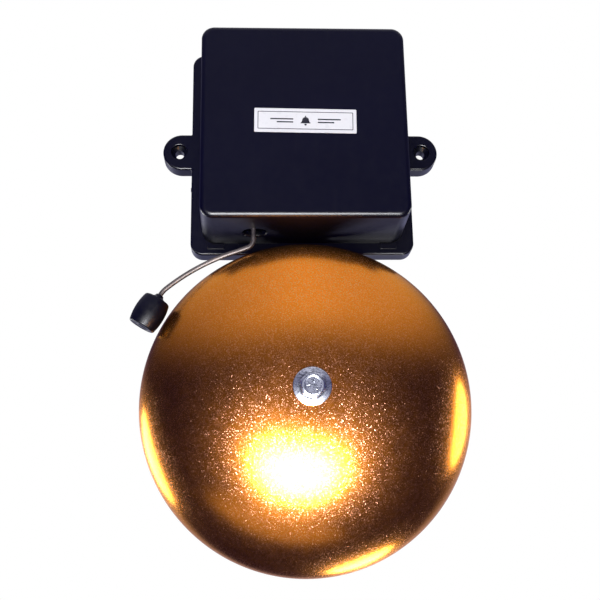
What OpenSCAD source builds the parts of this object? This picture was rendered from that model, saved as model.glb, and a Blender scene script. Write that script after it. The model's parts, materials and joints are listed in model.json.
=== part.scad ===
// Electromechanical alarm bell: a moulded box on the wall holds a trembler
// mechanism, and a steel bracket below it carries the gong. The rod leaves
// the box through its bottom wall and its hammer strikes the gong's edge.
// Origin: on the wall plane, midway between the two fixing holes.
// +X right, +Y into the wall, +Z up. Parts are drawn inside on_wall() as
// (x, z, out), where "out" is the distance from the wall.

/* [Base] */
// Width of the moulded base
base_width = 143; // [138:1:150]
// Height of the moulded base
base_height = 141; // [138:1:150]
// Distance from the wall to the flange's front face
base_out = 12; // [11.5:0.5:13]
// Wall thickness of the moulded base
base_wall = 2.5; // [2:0.25:3]
// Corner radius of the base
base_corner = 8; // [6:0.5:12]
// Distance between the two fixing holes
ear_pitch = 159.4; // [158:0.2:166]
// Rounding along the flange's front edge
base_edge = 1.4; // [0.6:0.1:2]
// Radius of an ear's round end
ear_radius = 12.3; // [11:0.1:12.8]
// Radius of a fixing hole
ear_hole = 2.9; // [2.2:0.1:3.2]

/* [Cover] */
// Width of the cover's front
cover_width = 127; // [126:0.5:128]
// Height of the cover's front
cover_height = 126.6; // [125:0.2:127]
// Distance from the wall to the cover's front face
cover_out = 62; // [60:0.5:66]
// Height of the cover's middle above the fixing holes
cover_z = 1.1; // [0.8:0.1:1.4]
// How much wider each wall of the cover stands at its open end
cover_flare = 0.8; // [0:0.1:1]
// Corner radius of the cover
cover_corner = 8; // [6:0.5:10]
// Rounding along the cover's front edge
cover_edge = 3.4; // [2:0.1:3.6]
// Wall thickness of the cover
cover_wall = 2.5; // [2:0.25:3]
// Radius of the hole the rod passes through
exit_radius = 7.25; // [7:0.05:7.6]
// Length of the name plate
label_length = 62.4; // [50:0.2:70]
// Height of the name plate
label_height = 15.8; // [12:0.2:20]

/* [Gong] */
// Radius of the gong at its rim
gong_radius = 100; // [99:0.5:100.5]
// Distance from the gong's rim to its crown, outside
gong_depth = 67; // [64:0.5:70]
// Distance from the wall to the gong's rim
gong_out = 17; // [16:0.5:18]
// Height of the gong's middle, below the fixing holes
gong_z = -167; // [-169:0.5:-166.5]
// Sheet thickness of the gong
gong_sheet = 1.6; // [1.2:0.1:2]
// How squarely the gong's shoulder turns, across the radius
gong_square_radius = 2.45; // [2.3:0.05:2.6]
// How squarely the gong's shoulder turns, along the depth
gong_square_depth = 1.78; // [1.7:0.02:1.9]
// Width across the flats of the gong bolt
bolt_flats = 13; // [12:0.5:14]
// Radius of the gong bolt's flange
bolt_flange = 10.6; // [9:0.1:11]
// Turn of the gong bolt's hexagon
bolt_turn = 42.5; // [0:0.5:59.5]

/* [Striker] */
// Radius of the spring-steel rod
rod_radius = 1.5; // [1.3:0.05:1.5]
// Distance from the wall to the rod's middle
rod_out = 30; // [29:0.5:31]
// Position of the rod where it leaves the box
rod_x = -31.5; // [-32:0.1:-31]
// Length of the hammer
hammer_length = 22.1; // [20:0.1:23]
// Radius of the hammer at its middle
hammer_middle = 9.4; // [9:0.05:9.5]
// Radius of the hammer at its two ends
hammer_end = 8.05; // [7.5:0.05:8.4]

/* [Mechanism] */
// Position of the armature's pivot across the box
pivot_x = -26; // [-26.2:0.1:-25.8]
// Position of the armature's pivot up the box
pivot_z = 1; // [0.8:0.1:1.2]
// Radius of the pivot pin
pin_radius = 2; // [1.8:0.05:2.1]
// Radius of a magnet core
core_radius = 5; // [4:0.25:5.5]
// Radius of a coil's cheeks
cheek_radius = 12; // [11:0.25:12.5]

/* [Hidden] */
$fn = 96;
overlap = 0.01;

// colours that several parts share
black_plastic = [0.055, 0.055, 0.085];
black_rubber = [0.03, 0.03, 0.03];
steel = [0.7, 0.7, 0.72];
iron = [0.5, 0.51, 0.53];
brass = [0.76, 0.6, 0.3];
bronze = [0.72, 0.5, 0.25];
silver = [0.85, 0.85, 0.86];

// levels, as distances from the wall
plate_back = base_out - base_wall;      // back of the base's front plate
frame_back = base_out + 1;
frame_front = frame_back + 2;
crown_out = gong_out + gong_depth;      // outside of the gong's crown

// places that several parts share
bracket_width = 40;
bracket_screw_z = [-34, 4];
cover_screw_x = 52;
cover_screw_z = 51;
grommet_x = 46;
grommet_z = -18;
frame_screw_spots = [[-52, -38], [10, -51], [-52, 6], [20, 6]];  // [x, z]
terminal_z = 36;
terminal_fixing_x = [24, 36];
armature_left = pivot_x - 1.5;
armature_right = pivot_x + 1.5;

// ---------------------------------------------------------------- helpers
module on_wall() { rotate([90, 0, 0]) children(); }
module place(x, z, out = 0) { translate([x, z, out]) children(); }
module lift(out) { translate([0, 0, out]) children(); }
module at_corners(half_x, half_z, out = 0) {
  for (x = [-half_x, half_x], z = [-half_z, half_z]) place(x, z, out) children();
}
// a block given by its low and high corners
module block(low, high) { translate(low) cube(high - low); }
// cylinders: outwards from the wall, along x, along z
module disc(from, radius, height) { lift(from) cylinder(r = radius, h = height); }
module along_x(x0, x1, z, out, radius) {
  translate([x0, z, out]) rotate([0, 90, 0]) cylinder(r = radius, h = x1 - x0);
}
module along_z(x, z0, z1, out, radius) {
  translate([x, z0, out]) rotate([-90, 0, 0]) cylinder(r = radius, h = z1 - z0);
}
module hexagon(flats, height) { cylinder(r = flats / sqrt(3), h = height, $fn = 6); }
// a washer or bush; cut is the length of the tool that bores it
module ring(outer, inner, height, cut = 4) {
  difference() {
    cylinder(r = outer, h = height);
    disc(-1, inner, cut);
  }
}
// cutter for a groove round a post
module groove(from, outer, inner, height) {
  lift(from) difference() {
    cylinder(r = outer, h = height);
    cylinder(r = inner, h = height);
  }
}
// cutters for screwdriver slots
module slot(half_length, half_width, from, to) {
  block([-half_length, -half_width, from], [half_length, half_width, to]);
}
module cross_slot(half_length, half_width, from, to) {
  slot(half_length, half_width, from, to);
  slot(half_width, half_length, from, to);
}
// a flat rounded rectangle
module rounded(width, height, corner) {
  square([width - 2 * corner, height], center = true);
  square([width, height - 2 * corner], center = true);
  at_corners(width / 2 - corner, height / 2 - corner) circle(corner);
}
// a round puck whose front edge is rounded
module puck(radius, height, edge) {
  rotate_extrude($fn = 48) polygon(concat([[0, 0], [radius, 0]],
    [for (a = [0:15:90]) [radius - edge + edge * cos(a), height - edge + edge * sin(a)]],
    [[0, height]]));
}
// a box whose corners are round and whose front edge is rounded
// (flare: how far each side stands out at the back)
module soft_box(width, height, depth, corner, edge, flare = 0) {
  half_x = width / 2 - corner;
  half_z = height / 2 - corner;
  hull() {
    at_corners(half_x, half_z, flare > 0 ? depth - edge - 1 : 0)
      puck(corner, flare > 0 ? edge + 1 : depth, edge);
    if (flare > 0)
      at_corners(half_x + flare, half_z + flare) cylinder(r = corner, h = 1, $fn = 48);
  }
}
// the outline inside the cover's walls, smaller across by gap
module inside_cover(gap = 0, corner_cut = 0) {
  rounded(cover_width - 2 * cover_wall - gap, cover_height - 2 * cover_wall - gap,
    cover_corner - cover_wall - corner_cut);
}

// ---------------------------------------------------------------- base
pads_x = [[-60.5, -50], [-41, -33.5], [49.5, 60]];  // left and right end of each pad
channel_x = bracket_width / 2 + 2;                  // ribs on both sides of the bracket

// side: -1 left, 1 right
module ear(side) {
  root = [side * 60, side * 68];
  hull() {
    place(side * (ear_pitch / 2 - 1.8), 0) puck(ear_radius, base_out, base_edge);
    // slabs stepped round the edge: [inset, drop], in parts of the rounding
    for (step = [[0, 1], [0.3, 0.3], [1, 0]]) {
      half = ear_radius - base_edge * step[0];
      block([min(root), -half, 0], [max(root), half, base_out - base_edge * step[1]]);
    }
  }
}
module base_body() {
  soft_box(base_width, base_height, base_out, base_corner, base_edge);
  ear(-1);
  ear(1);
  // lip that centres the cover
  place(0, cover_z, base_out - 0.5) linear_extrude(2.5) difference() {
    inside_cover(0.4);
    inside_cover(3.4, 1.5);
  }
  // low pads on the lower flange
  cover_bottom = cover_z - cover_height / 2;
  for (pad = pads_x)
    block([pad[0], cover_bottom - 4.6, base_out - 0.5],
      [pad[1], cover_bottom - cover_flare - 0.2, base_out + 0.9]);
  // bosses under the mechanism frame
  for (spot = concat(frame_screw_spots, [for (z = bracket_screw_z) [0, z]]))
    place(spot[0], spot[1], base_out - 0.5) cylinder(r = 4.5, h = 1.5);
}
module base_ribs() {
  for (x = [-36, 36, -channel_x, channel_x]) block([x - 1, -72, 1], [x + 1, 72, 20]);
  for (z = [-36, 0, 36]) {
    block([-80, z - 1, 1], [-channel_x - 1, z + 1, 20]);
    block([channel_x + 1, z - 1, 1], [80, z + 1, 20]);
  }
  block([-channel_x - 1, 28, 1], [channel_x + 1, 30, 20]);
  at_corners(cover_screw_x, cover_screw_z, 3) cylinder(r = 5, h = 20);
  place(grommet_x, grommet_z, 3) cylinder(r = 11, h = 20);
}
module base_plate() {
  color(black_plastic) on_wall() difference() {
    base_body();
    // hollow back, with ribs left standing
    difference() {
      lift(-1) linear_extrude(plate_back + 1)
        rounded(base_width - 2 * base_wall, base_height - 2 * base_wall,
          base_corner - base_wall);
      base_ribs();
    }
    // way out for the bracket
    block([-bracket_width / 2 - 0.5, -base_height, -1],
      [bracket_width / 2 + 0.5, -base_height / 2 + base_wall + 1, plate_back]);
    // fixing holes, sunk from the front
    for (side = [-1, 1]) place(side * ear_pitch / 2, 0) {
      disc(-1, ear_hole, base_out + 2);
      lift(7) cylinder(r1 = ear_hole, r2 = 5.2, h = 2.3);
      disc(9.3, 5.2, 10);
    }
    // cover screws, sunk from the back
    at_corners(cover_screw_x, cover_screw_z, -1) {
      cylinder(r = 1.8, h = 30);
      cylinder(r = 3.6, h = plate_back - 1);
    }
    for (z = bracket_screw_z) place(0, z, -1) cylinder(r = 2.7, h = 30);
    for (spot = frame_screw_spots)
      place(spot[0], spot[1], plate_back - overlap) cylinder(r = 1.53, h = 10);
    for (x = terminal_fixing_x)
      place(x, terminal_z, plate_back - overlap) cylinder(r = 1.33, h = 10);
    // grommet hole and the recess round it
    place(grommet_x, grommet_z) {
      disc(-1, 7, 30);
      disc(2.9, 9.2, plate_back - 2.9 + overlap);
    }
  }
}
module cable_grommet() {
  color(black_rubber) on_wall() place(grommet_x, grommet_z, plate_back - 2.6)
    rotate_extrude() polygon([  // [radius, out]
      [4, 0], [8.8, 0], [9, 0.4], [9, 2.5], [6.9, 2.6], [6.9, 5.1],
      [9, 5.2], [9, 7.3], [8.6, 7.7], [4, 7.7]]);
}

// ---------------------------------------------------------------- cover
module cover() {
  color(black_plastic) on_wall() difference() {
    place(0, cover_z, base_out)
      soft_box(cover_width, cover_height, cover_out - base_out, cover_corner, cover_edge,
        cover_flare);
    // hollow, with a webbed screw boss left in each corner
    difference() {
      place(0, cover_z, base_out - 1)
        linear_extrude(cover_out - cover_wall - base_out + 1) inside_cover();
      for (side = [-1, 1], z = [-cover_screw_z, cover_screw_z])
        place(side * cover_screw_x, z, base_out) {
          cylinder(r = 4.2, h = 60);
          block([side > 0 ? 0 : -12, -0.8, 6], [side > 0 ? 12 : 0, 0.8, 60]);
        }
    }
    at_corners(cover_screw_x, cover_screw_z, base_out - 1) cylinder(r = 1.35, h = 20);
    // the lip of the base passes the corner bosses
    place(0, cover_z, base_out - 1) linear_extrude(3.2) difference() {
      inside_cover(0.2);
      inside_cover(3.8, 1.7);
    }
    // hole for the rod
    along_z(-30.5, -80, -50, 32.5, exit_radius);
  }
}
module cover_screws() {
  color([0.55, 0.55, 0.57]) on_wall()
    at_corners(cover_screw_x, cover_screw_z, plate_back - 4) difference() {
      rotate_extrude() polygon([  // [radius, out]
        [0, 0], [2.4, 0], [3.1, 0.7], [3.1, 2], [1.3, 2], [1.3, 14], [0, 15.5]]);
      cross_slot(2, 0.35, -1, 1.1);
    }
}
module label_plate() {
  color([0.93, 0.93, 0.92]) on_wall() place(0.4, -0.5, cover_out) rotate([0, 0, -0.8])
    linear_extrude(0.4) rounded(label_length, label_height, 0.5);
}

// ---------------------------------------------------------------- gong and what holds it
bracket_sheet = 4;
key_above = 12;                         // height of the key above the gong's middle
pillar_top = crown_out - gong_sheet - 1.45;

module gong_bracket() {
  color([0.6, 0.61, 0.63]) on_wall() difference() {
    lift(plate_back - bracket_sheet) linear_extrude(bracket_sheet) union() {
      translate([-bracket_width / 2, gong_z]) square([bracket_width, 22 - gong_z]);
      translate([0, gong_z]) circle(bracket_width / 2);
    }
    place(0, gong_z, -1) cylinder(r = 3.3, h = 30);
    for (z = bracket_screw_z) place(0, z, -1) cylinder(r = 2.7, h = 30);
    // hole for the key that stops the pillar turning
    place(0, gong_z + key_above, -1) cylinder(r = 1.6, h = 30);
  }
}
module bracket_screws() {
  color(steel) on_wall() for (z = bracket_screw_z) place(0, z) difference() {
    union() {
      lift(1.2) rotate_extrude()
        polygon([[0, 0], [3.6, 0], [4.6, 0.9], [4.6, 3.3], [0, 3.3]]);
      disc(4.4, 2.45, 12.2);
    }
    cross_slot(2.6, 0.5, -1, 2.8);
  }
}
module bracket_washers() {
  color([0.62, 0.62, 0.64]) on_wall()
    for (z = bracket_screw_z) place(0, z, 4.5) ring(5, 2.6, 1);
}
module gong_pillar() {
  height = pillar_top - plate_back;
  color([0.66, 0.66, 0.68]) on_wall() place(0, gong_z, plate_back) difference() {
    union() {
      rotate_extrude() polygon([  // [radius, out]
        [0, 0], [14, 0], [15, 1], [15, 4], [9, 8], [8, 10],
        [8, height - 1], [7, height], [0, height]]);
      place(0, key_above, -3) cylinder(r = 1.5, h = 5);
    }
    // bores for the pillar bolt behind and the gong bolt in front
    disc(-1, 3.05, 16);
    disc(height - 22, 4.05, 30);
  }
}
module pillar_bolt() {
  color(steel) on_wall() place(0, gong_z) {
    lift(0.6) intersection() {
      hexagon(10, 4);
      cylinder(r1 = 4.7, r2 = 10.8, h = 6);
    }
    disc(4, 2.95, 18);
  }
}
module pillar_washer() {
  color([0.6, 0.6, 0.62]) on_wall() place(0, gong_z, 4.6) ring(6.2, 3.15, 0.9);
}
module gong_seat_washer() {
  color([0.35, 0.2, 0.12]) on_wall() place(0, gong_z, pillar_top) ring(11, 4.3, 1.2);
}
// outside curve of the gong as [radius, depth]: t from 0 at the rim to 90 at the crown
gong_steps = concat([0, 2, 4, 7], [for (t = [10:4:86]) t], [88.5]);
function gong_outside(t) = [
  gong_radius * pow(cos(t), 2 / gong_square_radius),
  gong_depth * pow(sin(t), 2 / gong_square_depth)];
function gong_tangent(t) =
  let (chord = gong_outside(t + 0.4) - gong_outside(t - 0.4)) chord / norm(chord);
function gong_inside(t) =
  let (along = gong_tangent(t)) gong_outside(t) + gong_sheet * [-along[1], along[0]];
module gong() {
  last = len(gong_steps) - 1;
  crown_inside = gong_depth - gong_sheet;
  color([0.78, 0.47, 0.16]) on_wall() place(0, gong_z, gong_out)
    rotate_extrude($fn = 180) polygon(concat(
      [[gong_radius - gong_sheet, 0.01], [gong_radius, 0]],
      [for (i = [1:last]) gong_outside(gong_steps[i])],
      [[4.4, gong_depth], [4.4, crown_inside]],
      [for (i = [last:-1:1]) let (point = gong_inside(gong_steps[i]))
        if (point[0] > 5) [point[0], min(point[1], crown_inside)]]));
}
module gong_bolt() {
  color([0.75, 0.76, 0.79]) on_wall() place(0, gong_z, crown_out) {
    difference() {
      union() {
        rotate_extrude() polygon([  // [radius, out]
          [0, 0], [bolt_flange - 0.3, 0], [bolt_flange, 0.3], [bolt_flange, 1.0],
          [bolt_flange - 0.3, 1.3], [7, 2.1], [0, 2.1]]);
        rotate([0, 0, bolt_turn]) intersection() {
          hexagon(bolt_flats, 7.8);
          cylinder(r1 = 14.6, r2 = 6.1, h = 8.6);
        }
      }
      disc(7.4, 4.4, 2);
    }
    // three plain ribs on the head
    for (a = [0:120:240]) rotate([0, 0, a + bolt_turn + 25])
      block([1.3, -0.4, 7.3], [3.9, 0.4, 7.8]);
    disc(-20, 4, 20.5);
  }
}

// ---------------------------------------------------------------- armature
rivet_z = -46;
rivet_steps = [-3.8, 3.8];              // out from the rod's middle
leaf_screw_z = 7.6;
leaf_screw_steps = [-2.4, 2.4];         // out from the rod's middle
set_screws_z = [-43, -49];
clamp_left = -36.5;
spring_z = -22;
contact_z = 24;
leaf_left = armature_right;
leaf_right = leaf_left + 0.4;
tip_x = leaf_right + 0.7;               // contact face

module armature() {
  color(iron) on_wall() difference() {
    union() {
      block([armature_left, -54, rod_out - 9], [armature_right, 10, rod_out + 9]);
      place(pivot_x, pivot_z, rod_out - 10) cylinder(r = 4.5, h = 20);
    }
    place(pivot_x, pivot_z) cylinder(r = 3, h = 60);
    // holes through the blade: [z, step from the rod's middle, radius]
    for (hole = concat([for (step = rivet_steps) [rivet_z, step, 1.25]],
        [for (step = leaf_screw_steps) [leaf_screw_z, step, 1.05]],
        [for (step = [-6, 6]) [spring_z, step, 0.9]]))
      along_x(armature_left - 2, armature_right + 2, hole[0], rod_out + hole[1], hole[2]);
  }
}
module pivot_bush() {
  color(bronze) on_wall() place(pivot_x, pivot_z, rod_out - 10.4)
    ring(3, pin_radius + 0.04, 20.8, cut = 30);
}
module rod_clamp() {
  color(brass) on_wall() difference() {
    block([clamp_left, -52.5, rod_out - 6], [armature_left, -39.5, rod_out + 6]);
    along_z(rod_x, -60, -30, rod_out, rod_radius);
    for (z = set_screws_z) along_x(-40, rod_x - rod_radius + 0.2, z, rod_out, 1.5);
    for (step = rivet_steps) along_x(-40, armature_right, rivet_z, rod_out + step, 1.25);
  }
}
module clamp_rivets() {
  color(steel) on_wall() for (step = rivet_steps) {
    out = rod_out + step;
    along_x(clamp_left - 0.9, armature_right + 0.6, rivet_z, out, 1.25);
    along_x(clamp_left - 1, clamp_left, rivet_z, out, 2);
    along_x(armature_right, armature_right + 0.7, rivet_z, out, 2);
  }
}
module clamp_set_screws() {
  color([0.25, 0.25, 0.27]) on_wall() for (z = set_screws_z) difference() {
    along_x(clamp_left - 0.7, rod_x - rod_radius, z, rod_out, 1.5);
    block([-38, z - 0.3, rod_out - 2], [clamp_left + 0.1, z + 0.3, rod_out + 2]);
  }
}
module contact_leaf() {
  color([0.78, 0.55, 0.3]) on_wall() difference() {
    block([leaf_left, 5.7, rod_out - 4], [leaf_right, 28, rod_out + 4]);
    for (step = leaf_screw_steps)
      along_x(leaf_left - 1, leaf_left + 3, leaf_screw_z, rod_out + step, 1.05);
    along_x(leaf_left - 1, leaf_left + 3, contact_z, rod_out, 0.9);
  }
}
module contact_tip() {
  color(silver) on_wall() {
    along_x(leaf_left - 0.5, leaf_left + 0.5, contact_z, rod_out, 0.85);
    along_x(leaf_right, tip_x, contact_z, rod_out, 1.7);
    along_x(leaf_left - 0.6, leaf_left, contact_z, rod_out, 1.5);
  }
}
module leaf_clip() {
  color(brass) on_wall() difference() {
    block([leaf_right, 5.7, rod_out - 4.5], [leaf_right + 1, 9.7, rod_out + 4.5]);
    for (step = leaf_screw_steps)
      along_x(leaf_left, leaf_left + 3, leaf_screw_z, rod_out + step, 1.05);
  }
}
module leaf_screws() {
  color(steel) on_wall() for (step = leaf_screw_steps) {
    out = rod_out + step;
    difference() {
      union() {
        along_x(armature_left - 0.6, leaf_left + 1.5, leaf_screw_z, out, 1.0);
        along_x(leaf_left + 1.4, leaf_left + 2.8, leaf_screw_z, out, 1.9);
      }
      block([leaf_left + 2.2, 5, out - 0.25], [leaf_left + 4, 10, out + 0.25]);
    }
  }
}

// ---------------------------------------------------------------- striker
// rod: down, a tight bend, a straight, a long easy bend, a closer one, into the hammer
tight_turn = 70.46;
tight_radius = 6;
tight_z = -66;                          // where the tight bend starts
straight_length = 10.51;
easy_turn = 20.13;
easy_radius = 128.17;
close_turn = 20.67;
close_radius = 15.66;

function direction(angle) = [cos(angle), sin(angle)];
straight_heading = -90 - tight_turn;
close_heading = straight_heading + easy_turn;   // where the closer bend starts
hammer_heading = close_heading + close_turn;
tight_centre = [rod_x - tight_radius, tight_z];
straight_start = tight_centre + tight_radius * direction(-tight_turn);
easy_start = straight_start + straight_length * direction(straight_heading);
easy_centre = easy_start + easy_radius * direction(straight_heading + 90);
close_start = easy_centre + easy_radius * direction(close_heading - 90);
close_centre = close_start + close_radius * direction(close_heading + 90);
hammer_start = close_centre + close_radius * direction(hammer_heading - 90);

// turns a child's axis along the heading, from a point [x, z]
module along_rod(point, heading) {
  translate([point[0], point[1], rod_out]) rotate([0, 0, heading]) rotate([0, 90, 0])
    children();
}
module bend(centre, bend_radius, start, turn, radius) {
  place(centre[0], centre[1], rod_out) rotate([0, 0, start])
    rotate_extrude(angle = turn) translate([bend_radius, 0]) circle(radius);
}
// neighbouring lengths differ by a hair in radius, so that they join cleanly
module striker_rod() {
  slim = rod_radius - 0.03;
  color([0.62, 0.6, 0.6]) on_wall() {
    along_z(rod_x, tight_z - 0.3, -38, rod_out, slim);
    bend(tight_centre, tight_radius, -tight_turn, tight_turn, rod_radius);
    along_rod(straight_start - 0.3 * direction(straight_heading), straight_heading)
      cylinder(r = slim, h = straight_length + 0.6);
    bend(easy_centre, easy_radius, straight_heading - 90, easy_turn, rod_radius);
    bend(close_centre, close_radius, close_heading - 90.5, close_turn + 1, slim);
    along_rod(hammer_start - 0.1 * direction(hammer_heading), hammer_heading)
      cylinder(r = rod_radius - 0.06, h = 14);
  }
}
// hammer: a moulded barrel with a small neck where the rod enters
function barrel(x) = hammer_middle - (hammer_middle - hammer_end)
  * pow((x - hammer_length / 2 - 1.6) / (hammer_length / 2 - 1.6), 2);
module hammer() {
  color([0.05, 0.05, 0.075]) on_wall() along_rod(hammer_start, hammer_heading) difference() {
    rotate_extrude() polygon(concat(  // [radius, distance along the hammer]
      [[0, 0], [2, 0], [2.4, 0.3], [2.75, 1], [3.2, 1.6], [4, 2.15], [5.2, 2.5],
        [6.8, 2.75], [hammer_end - 0.4, 3], [hammer_end, 3.4]],
      [for (x = [4:1.5:hammer_length - 2]) [barrel(x), x]],
      [[hammer_end, hammer_length - 1], [hammer_end - 0.35, hammer_length - 0.3],
        [hammer_end - 1, hammer_length], [0, hammer_length]]));
    disc(-1, rod_radius, 15.2);
  }
}

// ---------------------------------------------------------------- frame, magnet and pivot
pole_x = armature_right + 1.2;          // pole faces
coils_z = [-15, -41];
coil_left = pole_x + 1.5;
coil_right = 15.5;
yoke_right = coil_right + 5.5;
spring_post_x = -52;
stop_x = -34.2;
stop_z = -32;
post_screw_x = -10;
post_screws_z = [15, 31];

module mechanism_frame() {
  color([0.62, 0.63, 0.6]) on_wall() difference() {
    union() {
      block([-57, -44, frame_back], [25.5, 12, frame_front]);
      block([-42, -56, frame_back], [25.5, -43, frame_front]);
      block([-22, 11, frame_back], [6, 34, frame_front]);
      block([yoke_right, -52, frame_back], [yoke_right + 2, -6, rod_out + 9]);
    }
    // holes from the front: [x, z, radius]
    for (hole = concat([for (spot = frame_screw_spots) [spot[0], spot[1], 1.7]],
        [for (z = bracket_screw_z) [0, z, 2.47]],
        [for (z = post_screws_z) [post_screw_x, z, 1.25]],
        [[pivot_x, pivot_z, pin_radius], [spring_post_x, spring_z, 1.5],
          [stop_x, stop_z, 1.5]]))
      place(hole[0], hole[1]) cylinder(r = hole[2], h = 30);
    for (z = coils_z) along_x(coil_right, coil_right + 12, z, rod_out, 2.6);
  }
}
module frame_screws() {
  color(steel) on_wall() for (spot = frame_screw_spots) place(spot[0], spot[1]) difference() {
    union() {
      lift(frame_front) rotate_extrude()
        polygon([[0, 0], [3, 0], [3, 1.3], [2.2, 2.1], [0, 2.1]]);
      disc(plate_back + 0.2, 1.5, 6);
    }
    lift(frame_front) cross_slot(1.8, 0.35, 0.9, 3);
  }
}
module yoke() {
  color(iron) on_wall() difference() {
    block([coil_right + 0.5, -53, rod_out - 8], [yoke_right, -3, rod_out + 8]);
    for (z = coils_z) along_x(coil_right - 1, coil_right + 12, z, rod_out, 2.6);
  }
}
module magnet_cores() {
  color([0.56, 0.57, 0.59]) on_wall() for (z = coils_z) difference() {
    along_x(pole_x, coil_right + 0.5, z, rod_out, core_radius);
    along_x(coil_right - 9, coil_right + 2, z, rod_out, 2.5);
  }
}
module core_screws() {
  color(steel) on_wall() for (z = coils_z) {
    along_x(coil_right - 7, coil_right + 7.6, z, rod_out, 2.48);
    translate([coil_right + 7.5, z, rod_out]) rotate([0, 90, 0]) rotate([0, 0, 15])
      intersection() {
        hexagon(8, 3.4);
        cylinder(r1 = 7.6, r2 = 4, h = 3.4);
      }
  }
}
module coil_bobbins() {
  color([0.86, 0.84, 0.76]) on_wall() for (z = coils_z) difference() {
    union() {
      along_x(coil_left, coil_right, z, rod_out, core_radius + 1.3);
      along_x(coil_left, coil_left + 1.4, z, rod_out, cheek_radius);
      along_x(coil_right - 1.4, coil_right, z, rod_out, cheek_radius);
    }
    along_x(coil_left - 1, coil_right + 1, z, rod_out, core_radius + 0.05);
  }
}
module coil_windings() {
  color([0.55, 0.2, 0.08]) on_wall() for (z = coils_z) difference() {
    along_x(coil_left + 1.4, coil_right - 1.4, z, rod_out, cheek_radius - 1.3);
    along_x(coil_left, coil_right, z, rod_out, core_radius + 1.3);
  }
}
module pivot_pin() {
  color([0.72, 0.73, 0.75]) on_wall() place(pivot_x, pivot_z) difference() {
    disc(frame_back, pin_radius, rod_out + 14 - frame_back);
    groove(rod_out + 12, 5, pin_radius - 0.5, 0.8);
  }
}
module pivot_clip() {
  color([0.3, 0.3, 0.32]) on_wall() place(pivot_x, pivot_z, rod_out + 12.05) difference() {
    ring(4, pin_radius - 0.45, 0.7);
    block([-1.2, 0, -1], [1.2, 6, 2]);
  }
}
module pivot_spacer() {
  color(bronze) on_wall() place(pivot_x, pivot_z, frame_front)
    ring(4, pin_radius + 0.04, rod_out - 10.5 - frame_front, cut = 30);
}

// ---------------------------------------------------------------- return spring and stop
spring_left = -49;
spring_right = armature_left - 2.2;
spring_turns = 13;
spring_radius = 2.2;

module spring_post() {
  color(steel) on_wall() place(spring_post_x, spring_z) difference() {
    union() {
      disc(frame_back, 1.5, 3);
      disc(frame_front, 2.2, rod_out + 4 - frame_front);
    }
    groove(rod_out - 0.8, 4, 1.5, 1.6);
  }
}
module stop_post() {
  color(steel) on_wall() place(stop_x, stop_z) {
    disc(frame_back, 1.5, 3);
    disc(frame_front, 2, rod_out + 3 - frame_front);
    disc(rod_out + 3, 3, 1);
  }
}
module stop_buffer() {
  color([0.04, 0.04, 0.04]) on_wall() place(stop_x, stop_z, rod_out - 9)
    ring(4.4, 2, 12, cut = 20);
}
// a row of rings between the post and the armature, joined by a wire below
module return_spring() {
  wire_z = spring_z - spring_radius;
  pitch = (spring_right - spring_left - 2) / (spring_turns - 1);
  color([0.66, 0.66, 0.68]) on_wall() {
    for (i = [0:spring_turns - 1])
      translate([spring_left + 1 + i * pitch, spring_z, rod_out]) rotate([0, 90, 0])
        rotate_extrude($fn = 40) translate([spring_radius, 0]) circle(0.36, $fn = 16);
    along_x(spring_left + 0.8, spring_right - 0.8, wire_z, rod_out, 0.3);
    along_x(-50.2, spring_left + 1, wire_z, rod_out, 0.33);
    along_x(spring_right - 1, armature_left - 0.1, wire_z, rod_out, 0.33);
  }
}

// ---------------------------------------------------------------- fixed contact
module contact_insulator() {
  color([0.42, 0.22, 0.1]) on_wall() difference() {
    block([-19, 12.5, frame_front], [4, 33.5, frame_front + 3]);
    for (z = post_screws_z) place(post_screw_x, z) cylinder(r = 1.7, h = 40);
  }
}
module contact_post() {
  color(brass) on_wall() difference() {
    union() {
      block([-15, 13.5, frame_front + 3], [-3, 32.5, frame_front + 5]);
      block([-13, 19.8, frame_front + 4], [-6, 28.2, rod_out + 5]);
    }
    for (z = post_screws_z) place(post_screw_x, z) cylinder(r = 1.6, h = 40);
    along_x(-30, 10, contact_z, rod_out, 2.05);
  }
}
module contact_post_screws() {
  color(steel) on_wall() for (z = post_screws_z) place(post_screw_x, z) difference() {
    union() {
      disc(frame_back, 1.25, 8);
      disc(frame_front + 5, 2.6, 1.8);
    }
    slot(3, 0.3, frame_front + 6, frame_front + 9);
  }
}
module contact_lock_nut() {
  color(steel) on_wall() translate([-6, contact_z, rod_out]) rotate([0, 90, 0]) difference() {
    hexagon(7, 2.4);
    disc(-1, 2.05, 5);
  }
}
module contact_screw() {
  color(brass) on_wall() difference() {
    union() {
      along_x(tip_x + 0.8, 3, contact_z, rod_out, 2);
      along_x(2, 6.5, contact_z, rod_out, 4);
    }
    along_x(tip_x, tip_x + 2.6, contact_z, rod_out, 1.25);
    block([5.5, contact_z - 6, rod_out - 0.5], [8, contact_z + 6, rod_out + 0.5]);
  }
}
// silver contact carried in the screw's end
module contact_stud() {
  color(silver) on_wall() {
    along_x(tip_x + 0.03, tip_x + 2.5, contact_z, rod_out, 1.2);
    along_x(tip_x + 0.03, tip_x + 0.75, contact_z, rod_out, 1.7);
  }
}

// ---------------------------------------------------------------- terminals and wiring
ways_x = [18, 30, 42];
wire_out = base_out + 6;                // middle of the terminals' wire holes

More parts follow.
